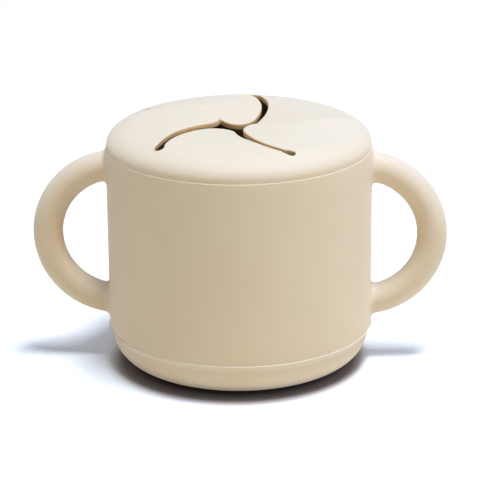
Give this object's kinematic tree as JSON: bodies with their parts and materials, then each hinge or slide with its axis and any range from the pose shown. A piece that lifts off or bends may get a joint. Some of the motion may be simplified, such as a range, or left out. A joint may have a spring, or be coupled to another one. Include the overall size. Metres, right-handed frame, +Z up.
{
  "type": "toddler snack container",
  "caption": "Soft cylindrical snack cup with a round loop handle on each side and a push-on lid whose top is cut into curved swirling flaps for small hands.",
  "frame": {"origin": "centre of the foot, on the surface the cup stands on", "axes": "+Z up, +X through the right handle, -Y towards the front"},
  "size_m": [0.138, 0.088, 0.081],
  "materials": {
    "cup_silicone": "matte soft silicone, warm cream, fine moulded skin",
    "handle_silicone": "matte soft silicone, warm cream, fine moulded skin",
    "lid_silicone": "matte soft silicone, warm cream, fine moulded skin"
  },
  "bodies": {
    "cup": {"cup_wall": "cup_silicone", "base": "cup_silicone", "handle_left": "handle_silicone", "handle_right": "handle_silicone"},
    "lid": {"lid_ring": "lid_silicone"},
    "flap_1": {"flap_1": "lid_silicone"},
    "flap_2": {"flap_2": "lid_silicone"},
    "flap_3": {"flap_3": "lid_silicone"},
    "flap_4": {"flap_4": "lid_silicone"},
    "flap_5": {"flap_5": "lid_silicone"}
  },
  "joints": [
    {"name": "lid_lift", "type": "slide", "parent": "cup", "child": "lid", "axis": [0, 0, 1], "range_m": [0, 0.035]},
    {"name": "flap_1_bend", "type": "hinge", "parent": "lid", "child": "flap_1", "pos_m": [0.01979, 0.02159, 0.08], "axis": [-0.7373, 0.6756, 0], "range_deg": [-75, 60], "stiffness_Nm_per_rad": 0.02},
    {"name": "flap_2_bend", "type": "hinge", "parent": "lid", "child": "flap_2", "pos_m": [-0.01442, 0.02549, 0.08], "axis": [-0.8704, -0.4924, 0], "range_deg": [-75, 60], "stiffness_Nm_per_rad": 0.02},
    {"name": "flap_3_bend", "type": "hinge", "parent": "lid", "child": "flap_3", "pos_m": [-0.0287, -0.00584, 0.08], "axis": [0.1994, -0.9799, 0], "range_deg": [-75, 60], "stiffness_Nm_per_rad": 0.02},
    {"name": "flap_4_bend", "type": "hinge", "parent": "lid", "child": "flap_4", "pos_m": [-0.00332, -0.0291, 0.08], "axis": [0.9936, -0.1132, 0], "range_deg": [-75, 60], "stiffness_Nm_per_rad": 0.02},
    {"name": "flap_5_bend", "type": "hinge", "parent": "lid", "child": "flap_5", "pos_m": [0.02665, -0.01214, 0.08], "axis": [0.4147, 0.91, 0], "range_deg": [-75, 60], "stiffness_Nm_per_rad": 0.02}
  ]
}
